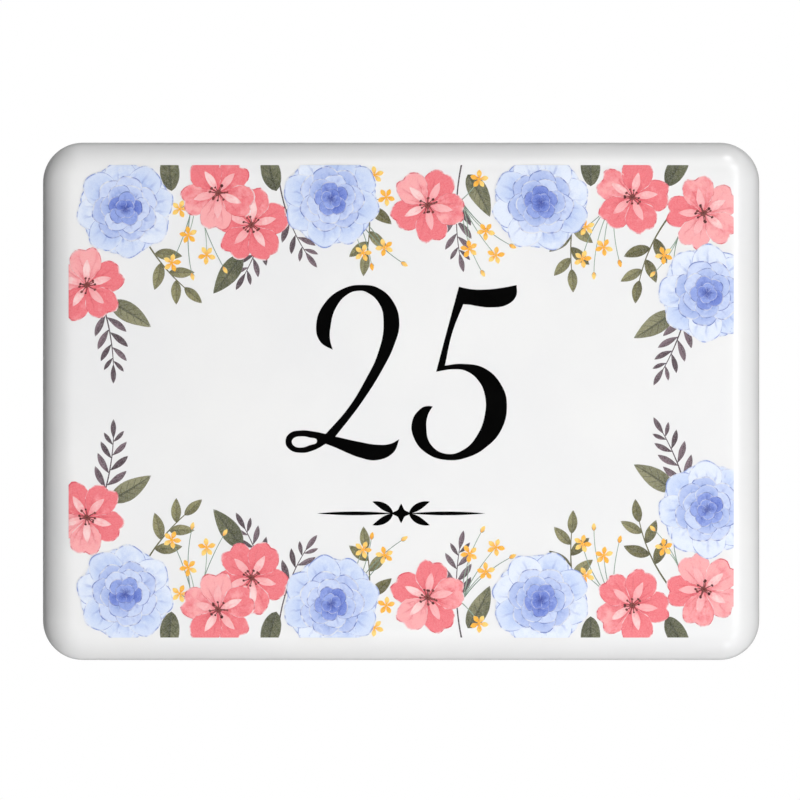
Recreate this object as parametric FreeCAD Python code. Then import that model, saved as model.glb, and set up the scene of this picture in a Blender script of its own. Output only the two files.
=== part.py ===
import FreeCAD, Part
import math
import os

# House number plaque: one glazed ceramic body with a fired-on coloured print.
# Millimetres. X runs to the right, Z up, the face looks along -Y and the wall is Y = 0.

# Body sizes
plaque_width = 180.0
plaque_height = 130.0
corner_step = 3.0         # corners of the outline are this much larger than the front round
edge_radius = 7.0         # round of the front edge, running into the flat face
side_land = 1.4           # upright band between the front round and the bevel of the back rim
rim_bevel = 0.6           # ground bevel on both edges of the flat back rim
wall_thickness = 5.5      # clay behind the face
rim_width = 9.0           # back rim that meets the wall
recess_radius = 1.6       # round where the hollow back meets its floor
recess_corner_step = 5.0  # corners of the hollow back are this much larger than that round

# Print sizes
print_side_margin = 6.9   # bare glaze between the outline and the print, left and right
print_end_margin = 5.95   # the same at the top and bottom, where the round is already almost flat
print_corner_radius = 3.0
print_thickness = 0.1     # one coat of colour

garland_reach = 27.0      # the garlands hang this far in from the top and bottom of the print
numeral_share = 0.683     # height of the number, as a share of the clear face between them
numeral_lift_share = 0.112    # centre of the number above the centre of the plaque
ornament_drop_share = 0.437   # centre of the ornament below it
ornament_width_share = 0.96   # the ornament's sizes, as shares of the height of the number
ornament_rule_share = 0.021
ornament_lozenge_share = 0.114
ornament_leaf_share = 0.137
ornament_leaf_width_share = 0.039

double_flower_radius = 12.2
single_flower_radius = 9.7
floret_radius = 2.4
frond_length = 19.0
frond_leaflet = 6.2
frond_leaflet_width = 1.5
sprig_length = 17.0
sprig_leaf = 7.0
sprig_leaf_width = 2.7
broad_leaf_length = 12.0
broad_leaf_width = 4.6
stem_width = 0.55

# Places of the flowers: share of the half width of the print from its middle, share of the
# print's height below its top edge, and turn in degrees.
double_flowers = [(-0.83, 0.093, 8), (-0.21, 0.072, 30), (0.42, 0.080, 17), (0.92, 0.271, 40)]
single_flowers = [
    (-0.945, 0.254, 20), (-0.55, 0.059, 50), (-0.45, 0.127, 15),
    (0.08, 0.085, 62), (0.695, 0.068, 5), (0.91, 0.102, 33),
]
florets = [
    (-0.665, 0.093, 0), (-0.64, 0.148, 30), (-0.585, 0.191, 50), (-0.69, 0.207, 10),
    (-0.08, 0.021, 20), (-0.045, 0.068, 60), (-0.05, 0.174, 40), (-0.115, 0.186, 0),
    (0.235, 0.030, 15), (0.255, 0.140, 50), (0.205, 0.178, 30), (0.285, 0.191, 5),
    (0.555, 0.131, 25), (0.61, 0.174, 60), (0.545, 0.199, 0), (0.79, 0.191, 45),
]
# Places of the leaf sprays: as above, then the way they grow and how far they bend, in degrees.
fronds = [
    (-0.90, 0.288, -72, -18), (-0.36, 0.059, -78, 24), (-0.40, 0.102, -104, -16),
    (0.17, 0.051, -96, 18), (0.86, 0.305, -104, -18),
]
sprigs = [
    (-0.76, 0.169, -58, 20), (-0.10, 0.068, -82, -22), (0.52, 0.102, -100, 18),
    (0.78, 0.135, -122, 24),
]
# Broad leaves tucked behind the flowers: as above, and the way they point.
broad_leaves = [
    (-0.69, 0.055, 95), (-0.375, 0.055, 105), (0.20, 0.02, -60), (0.57, 0.045, 92),
    (0.80, 0.045, 60), (-0.875, 0.29, -30), (-0.48, 0.19, -125), (0.82, 0.31, 215),
]

# Sizes that follow from the ones above
corner_radius = edge_radius + corner_step
face_depth = edge_radius + side_land + rim_bevel
recess_corner = recess_radius + recess_corner_step
print_width = plaque_width - 2 * print_side_margin
print_height = plaque_height - 2 * print_end_margin
clear_height = print_height - 2 * garland_reach
numeral_height = clear_height * numeral_share
numeral_lift = clear_height * numeral_lift_share
ornament_drop = clear_height * ornament_drop_share
ornament_width = numeral_height * ornament_width_share
ornament_rule = numeral_height * ornament_rule_share
ornament_lozenge = numeral_height * ornament_lozenge_share
ornament_leaf_length = numeral_height * ornament_leaf_share
ornament_leaf_width = numeral_height * ornament_leaf_width_share
smallest_field = 0.4      # square millimetres; a smaller scrap of colour isn't printed

# The two figures, on a grid 100 units high with its middle at the middle of the number.
# Each stroke runs through a start, then a middle and an end of every arc.
two_strokes = [
    [(-39, 13), (-46, 17.4), (-48.5, 26.5), (-43.5, 39.8), (-32, 48.4), (-22, 50), (-13, 48.3),
     (-4.2, 40), (-1, 28), (-4, 15.5), (-10, 3), (-22.5, -17), (-37.5, -36.5)],
    [(-37.5, -36.5), (-24, -39.5), (-13, -41.2), (-6.3, -40.7), (-1, -38)],
    [(-1, -38), (-4.4, -45.6), (-14, -50), (-24, -48.4), (-31, -45.7), (-37, -43), (-43, -40.7)],
    [(-43, -40.7), (-50, -44.4), (-57, -45.8), (-63.8, -43.8), (-66, -39.5), (-63.8, -34.8),
     (-57, -33), (-50, -33.6), (-43, -35)],
    [(-43, -35), (-30, -20), (-20, -3.5), (-13.2, 11), (-10, 28), (-12.2, 38.8), (-20, 46),
     (-24, 46.7), (-30, 45), (-37, 37.4), (-40.4, 25.5), (-40.6, 19), (-39, 13)],
]
two_eye = [
    [(-48, -39), (-52.6, -37), (-57, -36.4), (-61.2, -37.4), (-62.4, -39.5), (-61, -41.9),
     (-57, -42.8), (-52.6, -41.6), (-48, -39)],
]
five_strokes = [
    [(33, 49), (40, 47.6), (48, 47.4), (57, 48.3), (66, 50)],
    [(66, 50), (65.6, 43.6), (60.6, 38.8), (51, 37.2), (43.6, 37.9), (39.4, 38.7), (35.5, 39)],
    [(35.5, 39), (29.3, 23), (25, 4)],
    [(25, 4), (35, 5), (48, 2.3), (57.4, -7.4), (60.4, -18), (57, -33), (48, -43), (39, -48),
     (27, -50), (14.4, -46), (7, -36.6), (6.4, -27.6), (11.4, -20.4), (14.8, -19.1), (18, -19.3)],
    [(18, -19.3), (15.4, -24), (14.4, -31), (17, -41), (26, -46.4), (36, -43.8), (43.6, -35.5),
     (47.6, -25), (48, -14), (44.4, -5), (37, 0.9), (30, 1.9), (20, 0.5)],
    [(20, 0.5), (26.2, 24), (33, 49)],
]


def point(x, z):
    return FreeCAD.Vector(x, 0, z)


def polar(x, z, radius, degrees):
    turn = math.radians(degrees)
    return point(x + radius * math.cos(turn), z + radius * math.sin(turn))


def face_of(edges):
    return Part.Face(Part.Wire(edges))


def polygon(corners):
    return face_of(Part.makePolygon(corners + corners[:1]).Edges)


def arc(start, middle, end):
    return Part.Arc(start, middle, end).toShape()


def rounded_rectangle(width, height, radius):
    right = width / 2
    top = height / 2
    inset = radius * (1 - math.cos(math.radians(45)))
    corners = [
        (point(right, top - radius), point(right - inset, top - inset), point(right - radius, top)),
        (point(radius - right, top), point(inset - right, top - inset), point(-right, top - radius)),
        (point(-right, radius - top), point(inset - right, inset - top), point(radius - right, -top)),
        (point(right - radius, -top), point(right - inset, inset - top), point(right, radius - top)),
    ]
    edges = []
    for number, (start, middle, end) in enumerate(corners):
        edges.append(arc(start, middle, end))
        edges.append(Part.makeLine(end, corners[(number + 1) % 4][0]))
    return face_of(edges)


def edges_at(shape, depth):
    # Edges that lie flat at this depth in front of the wall.
    return [edge for edge in shape.Edges
            if all(abs(end.Y + depth) < print_thickness / 2 for end in edge.Vertexes)]


def block(width, height, corner, depth, edge_round):
    prism = rounded_rectangle(width, height, corner).extrude(FreeCAD.Vector(0, -depth, 0))
    return prism.makeFillet(edge_round, edges_at(prism, depth))


def petalled(x, z, petals, tip_radius, waist_radius, turn, steps, notch=0):
    # Round petals from one waist to the next, as a polar formula. A notch dents each tip.
    corners = []
    for number in range(petals * steps):
        across = (number % steps) / steps * 2 - 1
        radius = waist_radius + (tip_radius - waist_radius) * (1 - abs(across) ** 2.4)
        if across == 0:
            radius -= notch
        corners.append(polar(x, z, radius, turn + (number / steps + 0.5) * 360 / petals))
    return polygon(corners)


def star(x, z, points, tip_radius, waist_radius, turn):
    step = 360 / points
    corners = []
    for number in range(points):
        corners.append(polar(x, z, tip_radius, turn + number * step))
        corners.append(polar(x, z, waist_radius, turn + (number + 0.5) * step))
    return polygon(corners)


def leaf(root, heading, length, width):
    along = polar(0, 0, length, heading)
    across = polar(0, 0, width / 2, heading + 90)
    return polygon([root, root + along * 0.32 - across, root + along * 0.68 - across * 0.8,
                    root + along, root + along * 0.68 + across * 0.8,
                    root + along * 0.32 + across])


def leaflet(root, heading, length, width):
    along = polar(0, 0, length, heading)
    across = polar(0, 0, width / 2, heading + 90)
    return polygon([root, root + along * 0.55 - across, root + along, root + along * 0.55 + across])


def bent_path(x, z, heading, bend, length, share):
    # A point on a stem that starts at (x, z) and turns evenly by bend over its length.
    start = math.radians(heading)
    now = math.radians(heading + bend * share)
    reach = length / math.radians(bend)
    return point(x + reach * (math.sin(now) - math.sin(start)),
                 z + reach * (math.cos(start) - math.cos(now)))


def stem(x, z, heading, bend, length):
    # Tapers to a point and bends in three straight runs.
    left = []
    right = []
    for share in (0, 0.35, 0.7):
        middle = bent_path(x, z, heading, bend, length, share)
        across = polar(0, 0, stem_width / 2 * (1 - share / 2), heading + bend * share + 90)
        right.append(middle - across)
        left.insert(0, middle + across)
    return polygon(right + [bent_path(x, z, heading, bend, length, 1)] + left)


def meets(face, other):
    return face.BoundBox.intersect(other.BoundBox) and face.common(other).Area > 0


def merged(faces):
    # Outlines that overlap run together into one.
    groups = []
    for face in faces:
        joined = [face]
        apart = []
        for group in groups:
            if any(meets(face, other) for other in group):
                joined += group
            else:
                apart.append(group)
        groups = apart + [joined]
    whole = []
    for group in groups:
        shape = group[0].fuse(group[1:]).removeSplitter() if len(group) > 1 else group[0]
        whole += shape.Faces
    return whole


def frond(x, z, heading, bend):
    # Leaflets in opposite pairs that shorten towards the tip, and one at the end.
    pieces = [stem(x, z, heading, bend, frond_length)]
    for share, size in ((0.2, 1.0), (0.4, 0.95), (0.6, 0.82), (0.78, 0.62)):
        root = bent_path(x, z, heading, bend, frond_length, share)
        for side in (-42, 42):
            pieces.append(leaflet(root, heading + bend * share + side, frond_leaflet * size,
                                  frond_leaflet_width * size))
    root = bent_path(x, z, heading, bend, frond_length, 0.84)
    pieces.append(leaflet(root, heading + bend, frond_leaflet * 0.8, frond_leaflet_width * 0.8))
    return merged(pieces)


def sprig(x, z, heading, bend):
    # Broad leaves set by turns on either side of the stem, and one at the end.
    pieces = [stem(x, z, heading, bend, sprig_length)]
    for share, side, size in ((0.16, 52, 1.0), (0.32, -50, 1.0), (0.50, 46, 0.92),
                              (0.66, -46, 0.88), (0.82, 0, 0.85)):
        root = bent_path(x, z, heading, bend, sprig_length, share)
        pieces.append(leaf(root, heading + bend * share + side, sprig_leaf * size,
                           sprig_leaf_width * size))
    return merged(pieces)


def grid_point(x, z):
    return point(x * numeral_height / 100, z * numeral_height / 100 + numeral_lift)


def drawn(strokes):
    edges = []
    for stroke in strokes:
        places = [grid_point(x, z) for x, z in stroke]
        for start in range(0, len(places) - 2, 2):
            edges.append(arc(*places[start:start + 3]))
    return face_of(edges)


def ornament():
    # A lozenge between two pairs of leaves, with a swelled rule running out on each side.
    half = ornament_lozenge / 2
    pieces = [polygon([point(half, 0), point(0, half), point(-half, 0), point(0, -half)])]
    for way in (0, 180):
        start = polar(0, 0, half * 0.8, way)
        pieces.append(leaflet(start, way, ornament_width / 2 - half * 0.8, ornament_rule))
        for side in (-34, 34):
            pieces.append(leaf(start, way + side, ornament_leaf_length, ornament_leaf_width))
    return [face.translated(point(0, -ornament_drop)) for face in merged(pieces)]


def fields(shape):
    return [face for face in shape.Faces if face.Area > smallest_field]


def painted(outlines, window, covers):
    # One colour: its outlines run together, less what is already painted over them.
    seen = []
    whole = [part for face in merged(outlines) for part in face.common(window).Faces]
    for face in whole:
        near = [cover for cover in covers if cover.BoundBox.intersect(face.BoundBox)]
        seen += fields(face.cut(near)) if near else [face]
    covers += whole
    return seen


def second_coat(shapes, outlines, ground):
    # A shape on each flower, cut where an earlier flower hides it and kept to the first coat.
    seen = []
    for number, shape in enumerate(shapes):
        open_part = shape.cut(outlines[:number]) if number else shape
        seen += fields(open_part.common(ground))
    return seen


def garland():
    # Flat outlines of the top garland: colour name to (coat number, faces).
    window = rounded_rectangle(print_width, print_height, print_corner_radius)
    covers = []

    def placed(rows):
        return [(share * print_width / 2, print_height * (0.5 - drop), *rest)
                for share, drop, *rest in rows]

    wide = double_flower_radius
    doubles = [petalled(x, z, 8, wide, wide * 0.86, turn, 5)
               for x, z, turn in placed(double_flowers)]
    pale = painted(doubles, window, covers)
    rings = [petalled(x, z, 7, wide * 0.66, wide * 0.57, turn + 20, 4)
             for x, z, turn in placed(double_flowers)]
    blue = second_coat(rings, doubles, pale)
    hearts = [petalled(x, z, 5, wide * 0.36, wide * 0.28, turn, 4)
              for x, z, turn in placed(double_flowers)]
    deep = second_coat(hearts, doubles, blue)

    wide = single_flower_radius
    singles = [petalled(x, z, 5, wide, wide * 0.7, turn, 6, wide * 0.12)
               for x, z, turn in placed(single_flowers)]
    coral = painted(singles, window, covers)
    stars = [star(x, z, 5, wide * 0.66, wide * 0.3, turn) for x, z, turn in placed(single_flowers)]
    blush = second_coat(stars, singles, coral)
    middles = [star(x, z, 5, wide * 0.26, wide * 0.14, turn)
               for x, z, turn in placed(single_flowers)]
    stamens = second_coat(middles, singles, blush)

    yellow = painted([star(x, z, 5, floret_radius, floret_radius * 0.5, turn)
                      for x, z, turn in placed(florets)], window, covers)
    tucked = [leaf(point(x, z), heading, broad_leaf_length, broad_leaf_width)
              for x, z, heading in placed(broad_leaves)]
    green = [face for place in placed(sprigs) for face in sprig(*place)]
    olive = painted(green + tucked, window, covers)
    plum = painted([face for place in placed(fronds) for face in frond(*place)], window, covers)
    return {
        "print_pale_blue": (0, pale), "print_blue": (1, blue), "print_deep_blue": (2, deep),
        "print_coral": (0, coral), "print_blush": (1, blush), "print_stamens": (2, stamens),
        "print_yellow": (0, yellow), "print_olive": (0, olive), "print_plum": (0, plum),
    }


def printed(coat, faces):
    # A skin of one coat on the glaze, or on the coat before.
    lift = FreeCAD.Vector(0, -face_depth - coat * print_thickness, 0)
    thickness = FreeCAD.Vector(0, -print_thickness, 0)
    return [face.translated(lift).extrude(thickness) for face in faces]


def write(name, solids):
    Part.makeCompound(solids).exportStep("parts/" + name + ".step")


os.makedirs("parts", exist_ok=True)

outer = block(plaque_width, plaque_height, corner_radius, face_depth, edge_radius)
hollow = block(plaque_width - 2 * rim_width, plaque_height - 2 * rim_width, recess_corner,
               face_depth - wall_thickness, recess_radius)
body = outer.cut(hollow)
body = body.makeChamfer(rim_bevel, edges_at(body, 0))
body.Solids[0].exportStep("parts/plaque_body.step")

for name, (coat, faces) in garland().items():
    upper = printed(coat, faces)
    lower = [solid.mirror(FreeCAD.Vector(0, 0, 0), FreeCAD.Vector(0, 0, 1)) for solid in upper]
    write(name, upper + lower)

two = drawn(two_strokes).cut(drawn(two_eye))
write("print_numerals", printed(0, fields(two) + fields(drawn(five_strokes))))
write("print_ornament", printed(0, ornament()))
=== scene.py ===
import math
import random
import bpy
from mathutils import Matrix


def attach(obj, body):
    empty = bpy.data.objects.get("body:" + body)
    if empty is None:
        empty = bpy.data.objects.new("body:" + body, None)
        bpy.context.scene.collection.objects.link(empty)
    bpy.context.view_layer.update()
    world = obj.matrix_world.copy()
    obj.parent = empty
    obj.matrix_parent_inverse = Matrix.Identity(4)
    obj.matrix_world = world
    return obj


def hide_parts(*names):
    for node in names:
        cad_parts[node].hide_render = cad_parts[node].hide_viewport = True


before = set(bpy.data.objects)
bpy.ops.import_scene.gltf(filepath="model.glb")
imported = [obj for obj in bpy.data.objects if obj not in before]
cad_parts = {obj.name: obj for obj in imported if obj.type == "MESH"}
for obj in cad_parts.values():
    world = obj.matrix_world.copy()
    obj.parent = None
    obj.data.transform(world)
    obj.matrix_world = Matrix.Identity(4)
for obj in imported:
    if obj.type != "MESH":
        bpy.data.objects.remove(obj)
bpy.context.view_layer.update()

mm = 0.001

# House number plaque: a glazed ceramic body, and a print of flowers, a number and an ornament fired
# onto it. Sizes are in millimetres, X to the right, Z up, the face towards -Y and the wall at Y = 0.


# Shader arithmetic

class Wire:                                   # one output of a node; sums on it add Math nodes
    def __init__(self, paint, socket):
        self.paint = paint
        self.socket = socket

    def calc(self, operation, *values):
        return self.paint.node("ShaderNodeMath", {"operation": operation}, dict(enumerate(values)))

    def __add__(self, other): return self.calc("ADD", self, other)
    def __radd__(self, other): return self.calc("ADD", other, self)
    def __sub__(self, other): return self.calc("SUBTRACT", self, other)
    def __rsub__(self, other): return self.calc("SUBTRACT", other, self)
    def __mul__(self, other): return self.calc("MULTIPLY", self, other)
    def __rmul__(self, other): return self.calc("MULTIPLY", other, self)
    def __abs__(self): return self.calc("ABSOLUTE", self)
    def sine(self): return self.calc("SINE", self)
    def orMore(self, other): return self.calc("MAXIMUM", self, other)


class Paint:                                  # the nodes of a material or of the world
    def __init__(self, owner):
        self.owner = owner
        owner.use_nodes = True
        self.tree = owner.node_tree
        self.tree.nodes.clear()

    def node(self, kind, settings=None, sockets=None, out=0):
        made = self.tree.nodes.new(kind)
        for name, value in (settings or {}).items():
            setattr(made, name, value)
        for name, value in (sockets or {}).items():
            if isinstance(value, Wire):
                self.tree.links.new(value.socket, made.inputs[name])
            else:
                made.inputs[name].default_value = value
        return Wire(self, made.outputs[out] if made.outputs else None)

    def millimetres(self):                    # place on the object, counted in millimetres
        place = self.node("ShaderNodeTexCoord", out="Object")
        return self.node("ShaderNodeVectorMath", {"operation": "SCALE"}, {0: place, "Scale": 1 / mm})

    def parts(self, vector):
        return [self.node("ShaderNodeSeparateXYZ", {}, {0: vector}, out) for out in (0, 1, 2)]

    def layer(self, name):                    # the numbers that a mesh carries at its corners
        return self.parts(self.node("ShaderNodeUVMap", {"uv_map": name}))

    def noise(self, place, size, detail=2.0, shift=0.0, rough=0.5, stretch=None):
        if stretch:
            place = self.node("ShaderNodeVectorMath", {"operation": "MULTIPLY"},
                              {0: place, 1: stretch})
        return self.node("ShaderNodeTexNoise", {"noise_dimensions": "4D"},
                         {"Vector": place, "W": shift, "Scale": 1.0 / size, "Detail": detail,
                          "Roughness": rough})

    def step(self, value, low, high):         # 0 below low, 1 above high, soft between
        return self.node("ShaderNodeMapRange", {"interpolation_type": "SMOOTHSTEP"},
                         {"Value": value, "From Min": low, "From Max": high})

    def mix(self, share, first, second):      # colours
        return self.node("ShaderNodeMix", {"data_type": "RGBA"}, {0: share, 6: first, 7: second}, 2)

    def bump(self, height, strength, distance):
        return self.node("ShaderNodeBump", {}, {"Height": height, "Strength": strength,
                                                "Distance": distance * mm})

    def seen(self):                           # 1 where the camera looks, straight or by reflection
        camera, glossy, through = [self.node("ShaderNodeLightPath", out=name) for name in
                                   ("Is Camera Ray", "Is Glossy Ray", "Is Transmission Ray")]
        return camera.orMore(glossy).orMore(through)

    def finish(self, sockets, glow=None):
        shader = self.node("ShaderNodeBsdfPrincipled", {}, sockets)
        if glow:
            white = self.node("ShaderNodeEmission", {}, {"Color": (1, 1, 1, 1)})
            shader = self.node("ShaderNodeMixShader", {}, {0: glow, 1: shader, 2: white})
        self.node("ShaderNodeOutputMaterial", {}, {"Surface": shader})
        return self.owner


def newPaint(name):
    return Paint(bpy.data.materials.new(name))


def grey(level):
    return (level, level, level, 1)


def rgb(red, green, blue):                    # a colour as it shows on a screen, 0 to 255
    def linear(level):
        share = level / 255
        return share / 12.92 if share <= 0.04045 else ((share + 0.055) / 1.055) ** 2.4
    return (linear(red), linear(green), linear(blue), 1.0)


def newObject(name, data):
    made = bpy.data.objects.new(name, data)
    bpy.context.scene.collection.objects.link(made)
    return made


def addPiece(name, data, material, node):     # a mesh that takes the place of one solid's node
    data.materials.append(material)
    piece = newObject(name, data)
    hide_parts(node)
    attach(piece, "root")


# Camera, light and floor

studio = {
    "distance": 1400.0,       # camera to the outline of the plaque
    "view": 200.85,           # height of the picture there
    "aside": -0.28,           # the picture's middle against the plaque's
    "above": 0.33,
    "outlineDepth": 2.6,
    "sensor": 36.0, "clipEnd": 20.0,             # the camera's own sensor in mm, and its reach in m
    "floorDrop": 430.0,
    "floorReach": 1500.0,
    "floorGrey": 0.86,
    "key": (500, -1820, -65, 1000, 7.4),         # place, width and watts of the soft lamps
    "top": (210, -760, 800, 600, 2.3),
    "low": (80, -620, -370, 420, 2.85),
    "back": (160, 1000, 260, 500, 2.4),
    # Small lamps that show in the glaze alone, on the right: degrees round from the side, degrees
    # that the glaze leans where it mirrors them, then distance, width and watts.
    "sparkAt": (85, 60),      # the round that mirrors them lies this far aside, and up at a corner
    "sparks": [(0, 15, 1500, 400, 1.1), (20, 17, 1500, 400, 1.5), (45, 24, 1500, 440, 3.2),
               (72, 33, 1500, 400, 4.2), (-20, 17, 1100, 300, 0.75), (-45, 24, 600, 170, 0.42),
               (-72, 33, 370, 100, 0.18)],
    "ambient": 0.442,
    "floorGlow": 0.6,         # share of the floor that the camera sees as plain white
    "flag": (-390, -650, 300, 900, 0.1),         # dark flag: how far aside, its ends, height and grey
    "card": (500, 700, 0.4),  # a card for the edges to reflect: how far behind, its reach and grey
    "sideCard": (700, -480, 600, 0.2),           # the same on the right: its near end goes second
}


def softLamp(name, x, y, z, width, watts):
    data = bpy.data.lights.new(name, "AREA")
    data.shape = "SQUARE"
    data.size = width * mm
    data.energy = watts
    lamp = newObject(name, data)
    lamp.visible_camera = False
    lamp.location = (x * mm, y * mm, z * mm)
    lamp.rotation_euler = (-lamp.location).to_track_quat("-Z", "Y").to_euler()
    return lamp


def stagePlane(name, corners, level, glow=0.0):
    data = bpy.data.meshes.new(name)
    data.from_pydata([(x * mm, y * mm, z * mm) for x, y, z in corners], [], [(0, 1, 2, 3)])
    paint = newPaint(name)
    data.materials.append(paint.finish({"Base Color": grey(level), "Specular IOR Level": 0.0},
                                       paint.seen() * glow if glow else None))
    plane = newObject(name, data)
    return plane


def setCamera():
    data = bpy.data.cameras.new("camera")
    camera = newObject("camera", data)
    data.sensor_width = studio["sensor"]
    data.lens = studio["sensor"] * studio["distance"] / studio["view"]
    data.clip_end = studio["clipEnd"]
    camera.location = (studio["aside"] * mm, -(studio["distance"] + studio["outlineDepth"]) * mm,
                       studio["above"] * mm)
    camera.rotation_euler = (math.radians(90), 0, 0)
    bpy.context.scene.camera = camera
    bpy.context.scene.view_settings.view_transform = "Standard"


def setLamps():
    key = softLamp("keyLamp", *studio["key"])
    softLamp("topLamp", *studio["top"])
    low = softLamp("lowLamp", *studio["low"])
    softLamp("backLamp", *studio["back"])
    key.visible_glossy = low.visible_glossy = False           # the flat face would mirror them
    aside, up = studio["sparkAt"]
    for around, lean, reach, width, watts in studio["sparks"]:
        around, off = math.radians(around), math.radians(2 * lean)
        spark = softLamp("sparkLamp", aside + reach * math.sin(off) * math.cos(around),
                         -reach * math.cos(off), (up + reach * math.sin(off)) * math.sin(around),
                         width, watts)
        spark.visible_diffuse = False


def setWorld():                               # plain light on the object, white where it is seen
    sky = Paint(bpy.data.worlds.new("studioWorld"))
    bpy.context.scene.world = sky.owner
    strength = studio["ambient"] + sky.seen() * (1.0 - studio["ambient"])
    light = sky.node("ShaderNodeBackground", {}, {"Color": (1, 1, 1, 1), "Strength": strength})
    sky.node("ShaderNodeOutputWorld", {}, {"Surface": light})


def setStage():
    reach, drop = studio["floorReach"], -studio["floorDrop"]
    stagePlane("floor", [(-reach, -reach, drop), (reach, -reach, drop), (reach, reach, drop),
                         (-reach, reach, drop)], studio["floorGrey"], studio["floorGlow"])
    aside, near, far, high, level = studio["flag"]
    flag = stagePlane("flag", [(aside, near, drop), (aside, far, drop), (aside, far, high),
                               (aside, near, high)], level)
    flag.visible_camera = False
    behind, wide, level = studio["card"]
    card = stagePlane("card", [(-wide, behind, -wide), (wide, behind, -wide),
                               (wide, behind, wide), (-wide, behind, wide)], level)
    beside, near, high, level = studio["sideCard"]
    sideCard = stagePlane("sideCard", [(beside, near, -high), (beside, behind, -high),
                                       (beside, behind, high), (beside, near, high)], level)
    for plane in (card, sideCard):            # they show in reflections alone
        plane.visible_camera = plane.visible_diffuse = plane.visible_shadow = False


setCamera()
setLamps()
setWorld()
setStage()
print("studio set")


# The glazed body

body = {
    "width": 180.0, "height": 130.0, "depth": 9.0,
    "corner": 10.0,
    "shoulder": 8.4,          # the front round reaches this far in over the face
    "round": 8.0,             # and this far back
    "bevel": 0.6,             # ground edge of the rim
    "rim": 9.0, "recess": 3.5, "recessRound": 1.6, "recessCorner": 6.6,
    "cornerSteps": 16, "roundSteps": 18, "recessSteps": 8,
    "glazeLine": 0.86,        # the glaze ends this far from the wall
    "glazeFade": 0.06,        # and turns to bare clay this far to each side
    "ease": 0.12,             # softens the two edges of a bevel
    # rings that hold the flat face and the recess: how far in they lie, and their corners
    "faceRings": (30.0, 16.0, 10.5), "faceCorner": 1.2,
    "floorRings": (14.0, 30.0), "floorCorner": 3.0,
}


quarters = ((1, 1), (-1, 1), (-1, -1), (1, -1))             # the corners in turn, anticlockwise


def insideBy(x, z):                           # how far a point lies inside the outline
    acrossX = abs(x) - (body["width"] / 2 - body["corner"])
    acrossZ = abs(z) - (body["height"] / 2 - body["corner"])
    outer = math.hypot(max(acrossX, 0), max(acrossZ, 0))
    return body["corner"] - outer - min(max(acrossX, acrossZ), 0)


def glazeDepth(x, z):                         # distance of the glaze from the wall
    share = min(insideBy(x, z) / body["shoulder"], 1)
    return body["depth"] - body["round"] * (1 - math.sqrt(max(0, 1 - (1 - share) ** 2)))


def ring(inset, corner, steps):               # a rounded rectangle, anticlockwise from the front
    right = body["width"] / 2 - inset
    top = body["height"] / 2 - inset
    points = []
    for quarter, (sideX, sideZ) in enumerate(quarters):
        for step in range(steps + 1):
            angle = math.radians(90 * (quarter + step / steps))
            points.append((sideX * (right - corner) + corner * math.cos(angle),
                           sideZ * (top - corner) + corner * math.sin(angle)))
    return points


def bodyProfile():                            # (inset, depth, corner, bareness) from face to recess
    deep, shoulder, tall = body["depth"], body["shoulder"], body["round"]
    corner, inner, rim = body["corner"], body["recessCorner"], body["rim"]
    bevel, ease, fade = body["bevel"], body["ease"], body["glazeFade"]
    rows = [(inset, deep, body["faceCorner"], 0) for inset in body["faceRings"]]
    for step in range(body["roundSteps"] + 1):
        angle = math.radians(90 * (1 - step / body["roundSteps"]))
        inset = shoulder * (1 - math.cos(angle))
        rows.append((inset, deep - tall + tall * math.sin(angle), corner - inset, 0))
    line = body["glazeLine"]
    rows += [(0, line + fade, corner, 0), (0, line - fade, corner, 1),
             (0, bevel + ease, corner, 1),    # the bevel outside the rim, in five rings
             (ease / 2, bevel * 0.72, corner - ease / 2, 1),
             (bevel * 0.6, 0.1, corner - bevel * 0.6, 1), (bevel + ease, 0, corner - bevel, 1),
             (rim / 2, 0, (corner + inner) / 2, 1),
             (rim - bevel - ease, 0, inner + bevel, 1),      # and the one inside it
             (rim - bevel * 0.6, 0.1, inner + bevel * 0.6, 1),
             (rim - ease / 2, bevel * 0.72, inner, 1), (rim, bevel + ease, inner, 1)]
    small = body["recessRound"]
    for step in range(body["recessSteps"] + 1):
        angle = math.radians(90 * step / body["recessSteps"])
        inset = small * (1 - math.cos(angle))
        rows.append((rim + inset, body["recess"] - small + small * math.sin(angle), inner - inset, 1))
    return rows + [(inset, body["recess"], body["floorCorner"], 1) for inset in body["floorRings"]]


# Colours of the glaze and of the bare clay, then the size of each grain or cloud in them
glaze = {
    "pooled": (0.845, 0.846, 0.85, 1), "thin": (0.872, 0.871, 0.868, 1), "poolSize": 24.0,
    "speck": (0.55, 0.52, 0.48, 1), "speckSize": 0.55, "speckWeight": 0.12,
    "clayDark": (0.68, 0.64, 0.57, 1), "clayLight": (0.82, 0.79, 0.73, 1), "grogSize": 0.7,
    "stain": (0.55, 0.50, 0.42, 1), "stainSize": 18.0, "stainWeight": 0.35,
    "rubbed": (0.50, 0.48, 0.45, 1), "rubSize": 0.5, "rubWeight": 0.45,
    "rubStretch": (0.12, 1.0, 1.6),           # the grinding marks run along X
    "edgeSize": 5.0,                          # waves of the line where the glaze stops
    "rippleSize": 9.0, "fineSize": 2.2, "relief": 0.06,
    "rough": 0.17, "roughSwing": 0.06, "roughSize": 14.0, "clayRough": 0.65,
    "shine": 0.45,
}


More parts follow.
